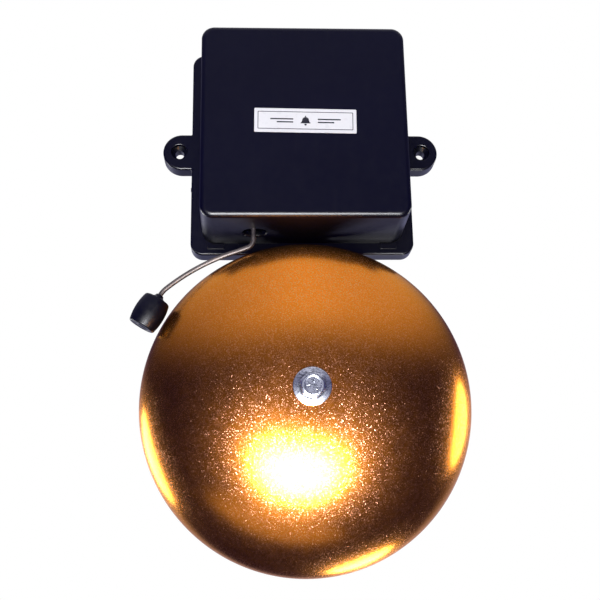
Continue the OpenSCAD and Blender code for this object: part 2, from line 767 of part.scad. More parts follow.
module terminal_block() {
  color([0.82, 0.82, 0.78]) on_wall() difference() {
    block([12, 28, base_out], [48, 44, base_out + 16]);
    for (x = ways_x) {
      along_z(x, 20, 50, wire_out, 3.3);
      place(x, terminal_z, base_out + 5) cylinder(r = 2.6, h = 30);
    }
    for (x = terminal_fixing_x) {
      block([x - 0.8, 20, base_out + 9], [x + 0.8, 50, base_out + 30]);
      place(x, terminal_z, base_out - 1) cylinder(r = 1.6, h = 30);
      place(x, terminal_z, base_out + 9) cylinder(r = 2.75, h = 30);
    }
  }
}
module terminal_clamps() {
  color(brass) on_wall() for (x = ways_x) difference() {
    along_z(x, 29, 43, wire_out, 3.25);
    along_z(x, 20, 50, wire_out, 1.9);
    place(x, terminal_z, wire_out) cylinder(r = 1.55, h = 30);
  }
}
module terminal_screws() {
  color(steel) on_wall() for (x = ways_x) place(x, terminal_z, base_out) difference() {
    union() {
      disc(6.6, 1.5, 6);
      disc(11.2, 2.45, 2.2);
    }
    slot(3, 0.4, 12.6, 16);
  }
}
module terminal_fixings() {
  color(steel) on_wall() for (x = terminal_fixing_x) place(x, terminal_z) {
    disc(plate_back + 0.4, 1.3, 12);
    disc(base_out + 9, 2.6, 1.6);
  }
}
// round wire through a list of points, with a ball at each
module wire(points, radius) {
  for (i = [0:len(points) - 2]) {
    span = points[i + 1] - points[i];
    translate(points[i]) rotate([0, acos(span[2] / norm(span)), atan2(span[1], span[0])])
      cylinder(r = radius, h = norm(span));
  }
  for (point = points) translate(point) sphere(r = radius + 0.1, $fn = 32);
}
module suppressor() {
  out = base_out + 7;
  color([0.85, 0.6, 0.1]) on_wall() {
    place(41, 8, out) linear_extrude(12, center = true) rounded(18, 7, 1);
    // legs: [x at the body, x at the terminal]
    for (leg = [[36, 31], [46, 42]])
      wire([[leg[0], 11, out], [leg[0], 16, out],
        [leg[1], 24, wire_out], [leg[1], 30, wire_out]], 0.4);
  }
}
module lead_red() {
  color([0.6, 0.05, 0.04]) on_wall() wire([[18, 30, wire_out], [18, 23, wire_out],
    [3, 23, wire_out + 5], [-3.5, 17.5, frame_front + 7]], 0.9);
}
module lead_black() {
  color(black_rubber) on_wall() wire([[29.3, 30, wire_out], [29.3, 22, wire_out],
    [26, 3, wire_out + 4], [19, 1, rod_out + 6], [10, -3.6, rod_out + 6.6]], 0.9);
}
module lead_coil() {
  color([0.1, 0.25, 0.12]) on_wall()
    wire([[9, -17, rod_out + 11.7], [9, -28, rod_out + 13], [9, -39, rod_out + 11.7]], 0.8);
}

base_plate();
cable_grommet();
cover();
cover_screws();
label_plate();
gong_bracket();
bracket_screws();
bracket_washers();
gong_pillar();
pillar_bolt();
pillar_washer();
gong_seat_washer();
gong();
gong_bolt();
mechanism_frame();
frame_screws();
yoke();
magnet_cores();
core_screws();
coil_bobbins();
coil_windings();
pivot_pin();
pivot_clip();
pivot_spacer();
spring_post();
stop_post();
stop_buffer();
return_spring();
contact_insulator();
contact_post();
contact_post_screws();
contact_lock_nut();
contact_screw();
contact_stud();
terminal_block();
terminal_clamps();
terminal_screws();
terminal_fixings();
suppressor();
lead_red();
lead_black();
lead_coil();
armature();
pivot_bush();
rod_clamp();
clamp_rivets();
clamp_set_screws();
contact_leaf();
contact_tip();
leaf_clip();
leaf_screws();
striker_rod();
hammer();
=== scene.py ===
# A wall-mounted alarm bell: a round gong with its bolt, a box cover with a label, a moulded base
# with two ears, a bent striker wire with its hammer, and the mechanism. The wall is the plane
# y = 0 and the bell faces -Y, with +Z up and +X to the right.
# Sizes are in millimetres unless noted. "out" is the distance from the wall; "back" is the side
# nearer the wall and "front" the side away from it. Outlines are lists of (x, z).
import bpy, bmesh, json
import numpy as np
from math import cos, degrees, pi, radians as rad, sin, sqrt, tan
from mathutils import Matrix, Vector

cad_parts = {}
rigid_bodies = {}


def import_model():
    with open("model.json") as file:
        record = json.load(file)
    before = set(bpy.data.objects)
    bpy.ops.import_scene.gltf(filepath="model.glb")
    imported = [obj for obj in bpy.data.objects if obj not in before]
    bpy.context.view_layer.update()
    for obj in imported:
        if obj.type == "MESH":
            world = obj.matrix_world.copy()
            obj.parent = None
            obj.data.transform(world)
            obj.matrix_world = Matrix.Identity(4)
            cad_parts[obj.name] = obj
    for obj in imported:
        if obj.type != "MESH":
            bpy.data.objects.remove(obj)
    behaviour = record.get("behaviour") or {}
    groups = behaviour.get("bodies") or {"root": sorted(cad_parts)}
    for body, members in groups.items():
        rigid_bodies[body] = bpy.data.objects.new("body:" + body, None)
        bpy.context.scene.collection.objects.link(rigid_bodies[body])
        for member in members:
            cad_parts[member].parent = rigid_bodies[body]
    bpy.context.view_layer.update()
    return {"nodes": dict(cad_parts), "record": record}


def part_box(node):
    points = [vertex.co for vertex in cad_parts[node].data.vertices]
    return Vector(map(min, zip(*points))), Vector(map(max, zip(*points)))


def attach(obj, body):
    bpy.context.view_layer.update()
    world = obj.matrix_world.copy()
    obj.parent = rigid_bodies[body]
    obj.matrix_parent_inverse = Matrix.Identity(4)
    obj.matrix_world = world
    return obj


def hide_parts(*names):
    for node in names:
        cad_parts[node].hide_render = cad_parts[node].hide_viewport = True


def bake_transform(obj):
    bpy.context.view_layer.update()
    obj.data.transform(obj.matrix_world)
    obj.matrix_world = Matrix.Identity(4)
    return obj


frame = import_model()
MM = 0.001
COLLECTION = bpy.context.scene.collection
OUTWARD, RIGHT, DOWN = (0, 0, 1), (1, 0, 0), (0, -1, 0)  # directions as (x, z, out)


# ------------------------------------------------------------------ places and outlines
def point(x, z, out):
    return Vector((x * MM, -out * MM, z * MM))


class Box:
    """The limits of a frame node."""

    def __init__(self, node):
        lo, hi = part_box(node)
        self.x0, self.x1, self.z0, self.z1, self.back, self.front = (
            v / MM for v in (lo.x, hi.x, lo.z, hi.z, -hi.y, -lo.y))
        self.x, self.z = (self.x0 + self.x1) / 2, (self.z0 + self.z1) / 2
        self.width, self.height = self.x1 - self.x0, self.z1 - self.z0
        self.depth = self.front - self.back


def axis_at(x, z, out, direction=OUTWARD):
    """A matrix at a place, whose +Z points along a direction."""
    axis = Vector((direction[0], -direction[2], direction[1])).normalized()
    return Matrix.Translation(point(x, z, out)) @ axis.to_track_quat("Z", "Y").to_matrix().to_4x4()


def arc(x, z, radius, start, end, steps):
    angles = [rad(start + (end - start) * i / steps) for i in range(steps + 1)]
    return [(x + radius * cos(a), z + radius * sin(a)) for a in angles]


def rect(x0, x1, z0, z1):
    return [(x0, z0), (x1, z0), (x1, z1), (x0, z1)]


def rounded_rect(width, height, radius, steps):
    """Counter-clockwise, with a number of steps in each corner."""
    x, z = width / 2 - radius, height / 2 - radius
    corners = ((x, -z, -90), (x, z, 0), (-x, z, 90), (-x, -z, 180))
    return [p for cx, cz, a in corners for p in arc(cx, cz, radius, a, a + 90, steps)]


def offset(outline, inset):
    """Move a closed counter-clockwise outline inwards."""
    count, moved = len(outline), []
    for i in range(count):
        before, here = Vector(outline[i - 1]), Vector(outline[i])
        after = Vector(outline[(i + 1) % count])
        edge1, edge2 = here - before, after - here
        edge1 = edge1.normalized() if edge1.length > 1e-9 else edge2.normalized()
        edge2 = edge2.normalized() if edge2.length > 1e-9 else edge1
        normal1, normal2 = Vector((-edge1.y, edge1.x)), Vector((-edge2.y, edge2.x))
        mitre = (normal1 + normal2).normalized()
        moved.append(tuple(here + mitre * (inset / max(0.3, mitre.dot(normal1)))))
    return moved


def ring(outline, out, x=0.0, z=0.0):
    """An outline as points at one distance from the wall, moved by x and z."""
    return [point(px + x, pz + z, out) for px, pz in outline]


# ------------------------------------------------------------------ mesh builders
def link_new(mesh):
    ob = bpy.data.objects.new("part", mesh)
    COLLECTION.objects.link(ob)
    return ob


def mesh_part(verts, faces):
    mesh = bpy.data.meshes.new("part")
    mesh.from_pydata([tuple(v) for v in verts], [], faces)
    mesh.validate()
    bm = bmesh.new()
    bm.from_mesh(mesh)
    bmesh.ops.remove_doubles(bm, verts=bm.verts, dist=1e-7)
    bmesh.ops.dissolve_degenerate(bm, edges=bm.edges, dist=1e-8)
    bmesh.ops.recalc_face_normals(bm, faces=bm.faces)
    bm.to_mesh(mesh)
    bm.free()
    return link_new(mesh)


def loft(rings, closed=False):
    """Skin through rings of equal length: capped at both ends, or closed on itself."""
    n, count = len(rings[0]), len(rings)
    faces = []
    for i in range(count if closed else count - 1):
        a, b = i * n, ((i + 1) % count) * n
        faces += [(a + j, a + (j + 1) % n, b + (j + 1) % n, b + j) for j in range(n)]
    if not closed:
        faces.append(tuple(reversed(range(n))))
        faces.append(tuple(range((count - 1) * n, count * n)))
    return mesh_part([v for r in rings for v in r], faces)


def revolve(profile, placed, sides):
    """Turn a closed profile of (radius, height) about +Z, then place it with a matrix.
    Points at radius 0 become poles."""
    verts, faces, rows = [], [], []
    for r, h in profile:
        if r < 1e-6:
            rows.append([len(verts)] * sides)
            verts.append(Vector((0, 0, h * MM)))
        else:
            rows.append(list(range(len(verts), len(verts) + sides)))
            verts += [Vector((r * MM * cos(2 * pi * j / sides), r * MM * sin(2 * pi * j / sides),
                              h * MM)) for j in range(sides)]
    for i, a in enumerate(rows):
        b = rows[(i + 1) % len(rows)]
        if a[0] == a[1] and b[0] == b[1]:
            continue
        for j in range(sides):
            quad = [a[j], a[(j + 1) % sides], b[(j + 1) % sides], b[j]]
            quad = [v for k, v in enumerate(quad) if v not in quad[:k]]
            if len(quad) > 2:
                faces.append(tuple(quad))
    return mesh_part([placed @ v for v in verts], faces)


def tube(points, radius, sides):
    """A round wire through points in metres, with a parallel-transported section."""
    last = len(points) - 1
    tangents = [(points[min(i + 1, last)] - points[max(i - 1, 0)]).normalized()
                for i in range(last + 1)]
    first = tangents[0]
    ref = Vector((0, 1, 0)) if abs(first.y) < 0.9 else Vector((1, 0, 0))
    across = (ref - first * ref.dot(first)).normalized()
    rings = []
    for centre, along in zip(points, tangents):
        across = (across - along * across.dot(along)).normalized()
        other = along.cross(across)
        angles = [2 * pi * j / sides for j in range(sides)]
        rings.append([centre + (across * cos(a) + other * sin(a)) * radius * MM for a in angles])
    return loft(rings)


def slab(outline, back, front, front_round=0.0, back_round=0.0, steps=5, x=0.0, z=0.0):
    """An outline carried from back to front, with its edges rounded if asked."""
    angles = [rad(a) for a in np.linspace(0, 90, steps)]
    rings = []
    if back_round:
        rings += [ring(offset(outline, back_round * (1 - sin(a))),
                       back + back_round * (1 - cos(a)), x, z) for a in angles]
    else:
        rings.append(ring(outline, back, x, z))
    if front_round:
        rings += [ring(offset(outline, front_round * (1 - cos(a))),
                       front - front_round + front_round * sin(a), x, z) for a in angles]
    else:
        rings.append(ring(outline, front, x, z))
    return loft(rings)


def block(x0, x1, z0, z1, back, front):
    return slab(rect(x0, x1, z0, z1), back, front)


def peg(x, z, back, front, radius, sides):
    length = front - back
    profile = [(0, 0), (radius, 0), (radius, length), (0, length)]
    return revolve(profile, axis_at(x, z, back), sides)


def cut(ob, tool, operation="DIFFERENCE"):
    """Apply a boolean at once and delete its tool."""
    m = ob.modifiers.new("b", "BOOLEAN")
    m.operation, m.solver, m.object = operation, "EXACT", tool
    bpy.context.view_layer.update()
    depsgraph = bpy.context.evaluated_depsgraph_get()
    mesh = bpy.data.meshes.new_from_object(ob.evaluated_get(depsgraph))
    ob.modifiers.clear()
    ob.data = mesh
    bpy.data.objects.remove(tool)


def join(parts):
    bm = bmesh.new()
    for ob in parts:
        bm.from_mesh(ob.data)
    mesh = bpy.data.meshes.new("part")
    bm.to_mesh(mesh)
    bm.free()
    joined = link_new(mesh)
    for ob in parts:
        bpy.data.objects.remove(ob)
    return joined


def shade_smooth(ob):
    ob.data.polygons.foreach_set("use_smooth", [True] * len(ob.data.polygons))


def smooth(ob, angle, weighted=True):
    """Smooth shading, sharp above an angle in degrees."""
    shade_smooth(ob)
    ob.data.set_sharp_from_angle(angle=rad(angle))
    if weighted:
        m = ob.modifiers.new("wn", "WEIGHTED_NORMAL")
        m.keep_sharp = True
        m.weight = 100


# ------------------------------------------------------------------ materials
class Nodes:
    """A small builder for the node tree of a material or world."""

    def __init__(self, owner):
        owner.use_nodes = True
        self.tree = owner.node_tree
        self.tree.nodes.clear()

    def node(self, kind, **values):
        """A new node; each value goes to the input of that name, or else to the property."""
        n = self.tree.nodes.new(kind)
        for key, value in values.items():
            if key in n.inputs.keys():
                self.put(n.inputs[key], value)
            else:
                setattr(n, key, value)
        return n

    def put(self, sock, value):
        if isinstance(value, bpy.types.NodeSocket):
            self.tree.links.new(value, sock)
        elif isinstance(value, (tuple, list)) and sock.type == "RGBA" and len(value) == 3:
            sock.default_value = (*value, 1)
        else:
            sock.default_value = value

    def math(self, op, a, b, c=None):
        n = self.node("ShaderNodeMath", operation=op)
        self.put(n.inputs[0], a)
        self.put(n.inputs[1], b)
        if c is not None:
            self.put(n.inputs[2], c)
        return n.outputs[0]

    def vector_math(self, op, a, b=None):
        n = self.node("ShaderNodeVectorMath", operation=op)
        self.put(n.inputs[0], a)
        if b is not None:
            self.put(n.inputs["Scale"] if op == "SCALE" else n.inputs[1], b)
        return n.outputs["Value" if op == "DISTANCE" else "Vector"]

    def remap(self, value, low, high, to_low, to_high, **props):
        n = self.node("ShaderNodeMapRange", **props)
        self.put(n.inputs["Value"], value)
        limits = (low, high, to_low, to_high)
        for key, limit in zip(("From Min", "From Max", "To Min", "To Max"), limits):
            n.inputs[key].default_value = limit
        return n.outputs[0]


class Mat(Nodes):
    """A Principled material whose texture space is the object's own, in metres."""

    def __init__(self, name):
        self.material = bpy.data.materials.new(name)
        super().__init__(self.material)
        self.output = self.node("ShaderNodeOutputMaterial")
        self.shader = self.node("ShaderNodeBsdfPrincipled")
        self.put(self.output.inputs[0], self.shader.outputs[0])
        self.coords = self.node("ShaderNodeTexCoord").outputs["Object"]
        self.normal = None

    def set(self, name, value):
        self.put(self.shader.inputs[name], value)

    def noise(self, scale, detail=2.0, rough=0.5, coords=None, distortion=0.0):
        n = self.node("ShaderNodeTexNoise", Scale=scale, Detail=detail, Roughness=rough,
                      Distortion=distortion, Vector=coords or self.coords)
        return n.outputs["Fac"]

    def stretch(self, x, y, z):
        return self.node("ShaderNodeMapping", Vector=self.coords, Scale=(x, y, z)).outputs[0]

    def ramp(self, fac, *stops):
        """Stops are (position, colour or grey)."""
        n = self.node("ShaderNodeValToRGB")
        self.put(n.inputs[0], fac)
        elements = n.color_ramp.elements
        while len(elements) < len(stops):
            elements.new(0.5)
        for element, (position, c) in zip(elements, stops):
            element.position = position
            element.color = (*c, 1) if isinstance(c, (tuple, list)) else (c, c, c, 1)
        return n.outputs["Color"]

    def mix(self, fac, a, b):
        n = self.node("ShaderNodeMix", data_type="RGBA")
        self.put(n.inputs[0], fac)
        self.put(n.inputs[6], a)
        self.put(n.inputs[7], b)
        return n.outputs[2]

    def bump(self, height, depth, strength=1.0):
        """Relief with a depth in millimetres, added to any earlier relief."""
        n = self.node("ShaderNodeBump", Strength=strength, Distance=depth * MM)
        self.put(n.inputs["Height"], height)
        if self.normal:
            self.put(n.inputs["Normal"], self.normal)
        self.normal = n.outputs[0]
        self.set("Normal", self.normal)


def metal(name, light, dark, rough, mottle, depth, grain=1500.0, metallic=1.0, painted_shade=None):
    """Mottled metal with a fine grain. An optional patch of painted shade, a place (x, z, out) with
    the radius where the shade is full and the radius where it ends, darkens the colour to nearly
    black."""
    k = Mat(name)
    patches = k.noise(mottle, detail=4.0, rough=0.6)
    colour = k.ramp(patches, (0.3, dark), (0.68, light))
    if painted_shade:
        place, full, end = painted_shade
        # painted shade: nearly black near the place, fading out by the outer radius
        distance = k.vector_math("DISTANCE", k.coords, point(*place))
        unshaded = k.remap(distance, full * MM, end * MM, 0.0, 1.0)
        colour = k.mix(unshaded, (0.006, 0.006, 0.008), colour)
    k.set("Base Color", colour)
    k.set("Metallic", metallic)
    fine = k.noise(mottle * 7, detail=3.0, rough=0.6)
    k.set("Roughness", k.remap(k.math("ADD", patches, fine), 0.6, 1.4, rough * 0.75, rough * 1.25))
    k.bump(k.noise(grain, detail=3.0, rough=0.6), depth=depth)
    return k.material


def plastic(name, light, dark, rough, specular, grain, depth):
    """Slightly cloudy plastic with a fine grain."""
    k = Mat(name)
    k.set("Base Color", k.ramp(k.noise(18.0, detail=3.0), (0.3, dark), (0.7, light)))
    fine = k.noise(260.0, detail=4.0, rough=0.65)
    k.set("Roughness", k.remap(fine, 0.3, 0.7, rough * 0.8, rough * 1.25))
    k.set("Specular IOR Level", specular)
    k.bump(k.noise(grain, detail=2.0, rough=0.55), depth=depth)
    return k.material


def zinc_bolt(name):
    """Blue-white zinc with short tool scratches, and painted shade darkening the creases."""
    k = Mat(name)
    # painted shade: ambient occlusion darkens the colour in creases, such as where the hex meets
    # the flange
    ao = k.node("ShaderNodeAmbientOcclusion", samples=8, Distance=3.6 * MM)
    unshaded = k.ramp(ao.outputs["AO"], (0.52, 0.02), (0.88, 1.0))
    marks = k.noise(520.0, detail=4.0, rough=0.7, coords=k.stretch(1.0, 0.6, 2.6), distortion=1.2)
    tone = k.ramp(marks, (0.40, (0.10, 0.11, 0.14)), (0.50, (0.56, 0.585, 0.65)),
                  (0.64, (0.76, 0.78, 0.86)))
    k.set("Base Color", k.mix(unshaded, (0.02, 0.021, 0.026), tone))
    k.set("Metallic", 1.0)
    k.set("Roughness", k.remap(marks, 0.3, 0.7, 0.33, 0.24))
    k.bump(k.noise(700.0, detail=4.0, rough=0.65, coords=k.stretch(1.0, 1.0, 2.0)), depth=0.020)
    return k.material


def box_plastic(name):
    """Dark blue-black moulding: faint flow marks, orange peel, light specks and hairlines."""
    k = Mat(name)
    flow = k.noise(9.0, detail=3.0, rough=0.55, coords=k.stretch(1.0, 0.6, 2.2))
    base = k.ramp(flow, (0.25, (0.0006, 0.0006, 0.0084)), (0.75, (0.0009, 0.0009, 0.0108)))
    dust = k.node("ShaderNodeTexVoronoi", Scale=70.0, Randomness=1.0, Vector=k.coords)
    speck = k.ramp(dust.outputs["Distance"], (0.0, 1.0), (0.012, 1.0), (0.022, 0.0))
    dusty = k.ramp(k.noise(21.0, detail=1.0), (0.58, 0.0), (0.66, 1.0))  # where specks show
    speck = k.math("MULTIPLY", speck, k.math("MULTIPLY", dusty, 0.5))
    k.set("Base Color", k.mix(speck, base, (0.06, 0.06, 0.085)))
    fine = k.noise(300.0, detail=3.0, rough=0.6)
    hair = k.noise(26.0, detail=5.0, rough=0.7, coords=k.stretch(14.0, 14.0, 1.2))
    k.set("Roughness", k.math("ADD", k.remap(fine, 0.3, 0.7, 0.28, 0.33),
                              k.remap(hair, 0.5, 0.8, 0.0, 0.05)))
    k.set("Specular IOR Level", 0.19)
    k.bump(k.noise(420.0, detail=2.0, rough=0.5), depth=0.002, strength=0.6)
    k.bump(k.noise(40.0, detail=2.0, rough=0.5), depth=0.02, strength=0.25)
    return k.material


def gong_metal(name):
    """Satin gold metal, mixed with pale flakes that each lean their own way and sparkle."""
    flake_scale, flake_rough, flake_share = 2500.0, 0.30, 0.20
    lean_amount, lean_power = 0.50, 1.2  # a higher power leaves more flakes nearly flat
    k = Mat(name)
    slow = k.noise(14.0, detail=3.0, rough=0.5)
    mid = k.noise(170.0, detail=3.0, rough=0.6)
    tone = k.math("ADD", k.math("MULTIPLY", slow, 0.6), k.math("MULTIPLY", mid, 0.4))
    k.set("Base Color", k.ramp(tone, (0.3, (0.78, 0.236, 0.012)), (0.7, (0.85, 0.270, 0.018))))
    k.set("Metallic", 1.0)
    k.set("Specular Tint", (1.0, 0.90, 0.58))
    k.set("Roughness", k.remap(mid, 0.3, 0.7, 0.215, 0.245))

    # each cell leans the surface normal by its own random vector and amount
    geometry = k.node("ShaderNodeNewGeometry")
    shifted = k.vector_math("ADD", k.coords, (0.013, 0.0091, 0.0169))
    cells = k.node("ShaderNodeTexVoronoi", Scale=flake_scale, Vector=shifted)
    chance = k.node("ShaderNodeTexWhiteNoise", Vector=cells.outputs["Position"]).outputs["Value"]
    amount = k.math("MULTIPLY", k.math("POWER", chance, lean_power), lean_amount)
    lean = k.vector_math("SUBTRACT", cells.outputs["Color"], (0.5, 0.5, 0.5))
    lean = k.vector_math("SCALE", lean, amount)
    leaning = k.vector_math("ADD", geometry.outputs["Normal"], lean)
    leaning = k.vector_math("NORMALIZE", leaning)

    flake = k.node("ShaderNodeBsdfPrincipled", Metallic=1.0, Roughness=flake_rough)
    k.put(flake.inputs["Base Color"], k.ramp(
        chance, (0.15, (0.03, 0.008, 0.004)), (0.55, (0.24, 0.082, 0.050)),
        (0.95, (1.0, 0.49, 0.34))))
    k.put(flake.inputs["Specular Tint"], (1.0, 0.76, 0.55))
    k.put(flake.inputs["Normal"], leaning)
    mixed = k.node("ShaderNodeMixShader")
    for sock, value in zip(mixed.inputs, (flake_share, k.shader.outputs[0], flake.outputs[0])):
        k.put(sock, value)
    k.put(k.output.inputs[0], mixed.outputs[0])
    return k.material


# name, light colour, dark colour, roughness, mottle scale, grain depth
METALS = (
    ("spring_steel", (0.58, 0.58, 0.6), (0.42, 0.42, 0.44), 0.25, 200.0, 0.003),
    ("magnet_iron", (0.50, 0.50, 0.51), (0.36, 0.36, 0.37), 0.42, 80.0, 0.006),
    ("brass_part", (0.78, 0.56, 0.24), (0.62, 0.42, 0.15), 0.26, 110.0, 0.003),
    ("bronze_part", (0.70, 0.44, 0.22), (0.54, 0.31, 0.13), 0.36, 140.0, 0.005),
    ("enamelled_copper", (0.62, 0.20, 0.06), (0.44, 0.12, 0.03), 0.24, 160.0, 0.004),
    ("silver_contact", (0.86, 0.85, 0.82), (0.70, 0.69, 0.66), 0.16, 300.0, 0.002),
)
# name, light colour, dark colour, roughness, specular, grain scale, grain depth
PLASTICS = (
    ("black_rubber", (0.020, 0.020, 0.021), (0.012, 0.012, 0.013), 0.62, 0.35, 1500.0, 0.02),
    ("brown_fibre", (0.15, 0.055, 0.024), (0.10, 0.034, 0.014), 0.6, 0.4, 1200.0, 0.02),
    ("ivory_nylon", (0.72, 0.68, 0.55), (0.62, 0.58, 0.45), 0.45, 0.5, 800.0, 0.01),
    ("grey_nylon", (0.60, 0.60, 0.56), (0.52, 0.52, 0.49), 0.45, 0.5, 800.0, 0.01),
    ("yellow_case", (0.78, 0.42, 0.03), (0.66, 0.34, 0.02), 0.3, 0.5, 700.0, 0.008),
    ("red_pvc", (0.42, 0.012, 0.010), (0.34, 0.008, 0.008), 0.35, 0.5, 900.0, 0.008),
    ("black_pvc", (0.016, 0.016, 0.017), (0.010, 0.010, 0.011), 0.35, 0.5, 900.0, 0.008),
    ("green_pvc", (0.02, 0.11, 0.03), (0.012, 0.08, 0.02), 0.35, 0.5, 900.0, 0.008),
    ("label_white", (0.74, 0.74, 0.74), (0.70, 0.70, 0.70), 0.30, 0.5, 1100.0, 0.004),
    ("label_ink", (0.012, 0.012, 0.022), (0.007, 0.007, 0.014), 0.35, 0.5, 900.0, 0.003),
    ("label_line", (0.045, 0.045, 0.058), (0.030, 0.030, 0.042), 0.35, 0.5, 900.0, 0.003),
)
MATERIALS = {
    "navy_plastic": box_plastic("navy_plastic"),
    "gong_bronze": gong_metal("gong_bronze"),
    "hammer_plastic": plastic(
        "hammer_plastic", light=(0.0013, 0.0013, 0.0110), dark=(0.0008, 0.0008, 0.0078),
        rough=0.40, specular=0.16, grain=700.0, depth=0.012),
    # painted shade round the slot where the wire leaves the cover
    "zinc_steel": metal(
        "zinc_steel", light=(0.60, 0.61, 0.64), dark=(0.44, 0.455, 0.48), rough=0.34,
        mottle=90.0, depth=0.004, painted_shade=((-31.0, -55.0, 15.0), 11.0, 18.0)),
    "bright_zinc": zinc_bolt("bright_zinc"),
    "rod_steel": metal(
        "rod_steel", light=(0.135, 0.115, 0.11), dark=(0.085, 0.072, 0.068), rough=0.44,
        mottle=120.0, depth=0.006, grain=700.0, metallic=0.7),
}
for row in METALS:
    MATERIALS[row[0]] = metal(*row)
for row in PLASTICS:
    MATERIALS[row[0]] = plastic(*row)

slots = {s["node"]: s["material_slot"] for s in frame["record"]["subparts"]}
for node_name, ob in frame["nodes"].items():
    ob.data.materials.clear()
    ob.data.materials.append(MATERIALS[slots[node_name]])


def dress(ob, name, material):
    ob.name = name
    ob.data.name = name
    ob.data.materials.clear()
    ob.data.materials.append(MATERIALS[material])


def piece(ob, name, body, material, nodes=()):
    """Name a piece, let it ride on a body and stand in for frame nodes."""
    dress(ob, name, material)
    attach(ob, body)
    if nodes:
        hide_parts(*nodes)


def flexing_piece(ob, name, material, node):
    """Name a piece, bake its placement into its mesh and hide the frame node it stands in for."""
    dress(ob, name, material)
    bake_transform(ob)
    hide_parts(node)


# ------------------------------------------------------------------ gong
gong_box = Box("gong")
GONG_R, GONG_DEPTH, GONG_WALL = gong_box.width / 2, gong_box.depth, 1.6
GONG_RADIUS_POWER, GONG_DEPTH_POWER = 2.45, 1.78  # superellipse exponents of the section
GONG_HOLE_R = 4.4


def gong_section(degrees_up):
    """A point (radius, height) of the outer section: 0 at the rim, 90 at the crown."""
    a = rad(degrees_up)
    return Vector((GONG_R * cos(a) ** (2 / GONG_RADIUS_POWER),
                   GONG_DEPTH * sin(a) ** (2 / GONG_DEPTH_POWER)))


stations = [0.6, 1.2, 2, 3, 4.2, 5.5, 7] + [8.6 + 1.28 * i for i in range(62)] + [88.6]
outer_skin = [gong_section(t) for t in stations]
inner_skin = []
for t in stations:
    along = (gong_section(t + 0.3) - gong_section(t - 0.3)).normalized()
    inner_skin.append(gong_section(t) + Vector((-along.y, along.x)) * GONG_WALL)
crown_underside = GONG_DEPTH - GONG_WALL
profile = [(p.x, p.y) for p in outer_skin if p.x > 4.9]
profile += [(4.7, GONG_DEPTH), (GONG_HOLE_R, GONG_DEPTH - 0.25),
            (GONG_HOLE_R, crown_underside + 0.1)]
profile += [(p.x, min(p.y, crown_underside)) for p in reversed(inner_skin) if p.x > 4.8]
profile += [(GONG_R - GONG_WALL + 0.15, 0.12), (GONG_R - GONG_WALL + 0.45, 0.0),
            (GONG_R - 0.45, 0.0), (GONG_R - 0.18, 0.12)]
gong = revolve(profile, axis_at(gong_box.x, gong_box.z, gong_box.back), 288)
smooth(gong, 40)
piece(gong, "gong_shell", "bell_body", "gong_bronze", ["gong"])

# ------------------------------------------------------------------ gong bolt
# Heights are from the front of the gong.
FLANGE_R = Box("gong_bolt").width / 2
HEX_FLATS, HEAD_H, HEX_TURN = 13.0, 7.8, 42.5  # across flats, height, degrees to a corner
TOP_R = 5.75  # the round flat on top of the head
HEAD_SIDES = 360
BOLT_AXIS = axis_at(gong_box.x, gong_box.z, gong_box.front)
HEAD_ANGLES = [2 * pi * j / HEAD_SIDES for j in range(HEAD_SIDES)]


def hex_radius(angle):
    from_corner = (degrees(angle) - HEX_TURN) % 60.0
    from_corner = min(from_corner, 60 - from_corner)
    return min((HEX_FLATS / 2) / cos(rad(30 - from_corner)), HEX_FLATS / sqrt(3) - 0.12)


def head_ring(radii, heights):
    return [BOLT_AXIS @ Vector((r * MM * cos(a), r * MM * sin(a), z * MM))
            for a, r, z in zip(HEAD_ANGLES, radii, heights)]


def round_ring(radius, height):
    return head_ring([radius] * HEAD_SIDES, [height] * HEAD_SIDES)


hexagon = [hex_radius(a) for a in HEAD_ANGLES]
chamfer = [HEAD_H - max(0.0, r - TOP_R) * tan(rad(27)) for r in hexagon]
FLANGE = (  # radius, height
    (4.6, 0.0), (FLANGE_R - 0.5, 0.0), (FLANGE_R - 0.15, 0.1), (FLANGE_R, 0.3), (FLANGE_R, 0.85),
    (FLANGE_R - 0.08, 1.1), (FLANGE_R - 0.35, 1.27), (FLANGE_R - 0.8, 1.36), (8.6, 1.72),
    (7.75, 2.0))
HEX_FOOT = ((0.18, 2.08), (0.04, 2.2), (0.0, 2.4))  # added to the hexagon, height
HEX_EDGE = ((0.0, -0.14), (0.03, -0.05), (0.13, 0.03))  # inset, height from the chamfer
HEAD_TOP = (  # radius, height: a shallow dish inside the flat
    (TOP_R + 0.12, HEAD_H - 0.06), (TOP_R - 0.03, HEAD_H), (4.75, HEAD_H), (4.6, HEAD_H - 0.04),
    (4.45, HEAD_H - 0.22), (4.2, HEAD_H - 0.36), (3.9, HEAD_H - 0.4))
rings = [round_ring(r, z) for r, z in FLANGE]
rings += [head_ring([r + grow for r in hexagon], [z] * HEAD_SIDES) for grow, z in HEX_FOOT]
rings += [head_ring([r - inset for r in hexagon], [z + up for z in chamfer])
          for inset, up in HEX_EDGE]
rings += [round_ring(r, z) for r, z in HEAD_TOP]
head = loft(rings)

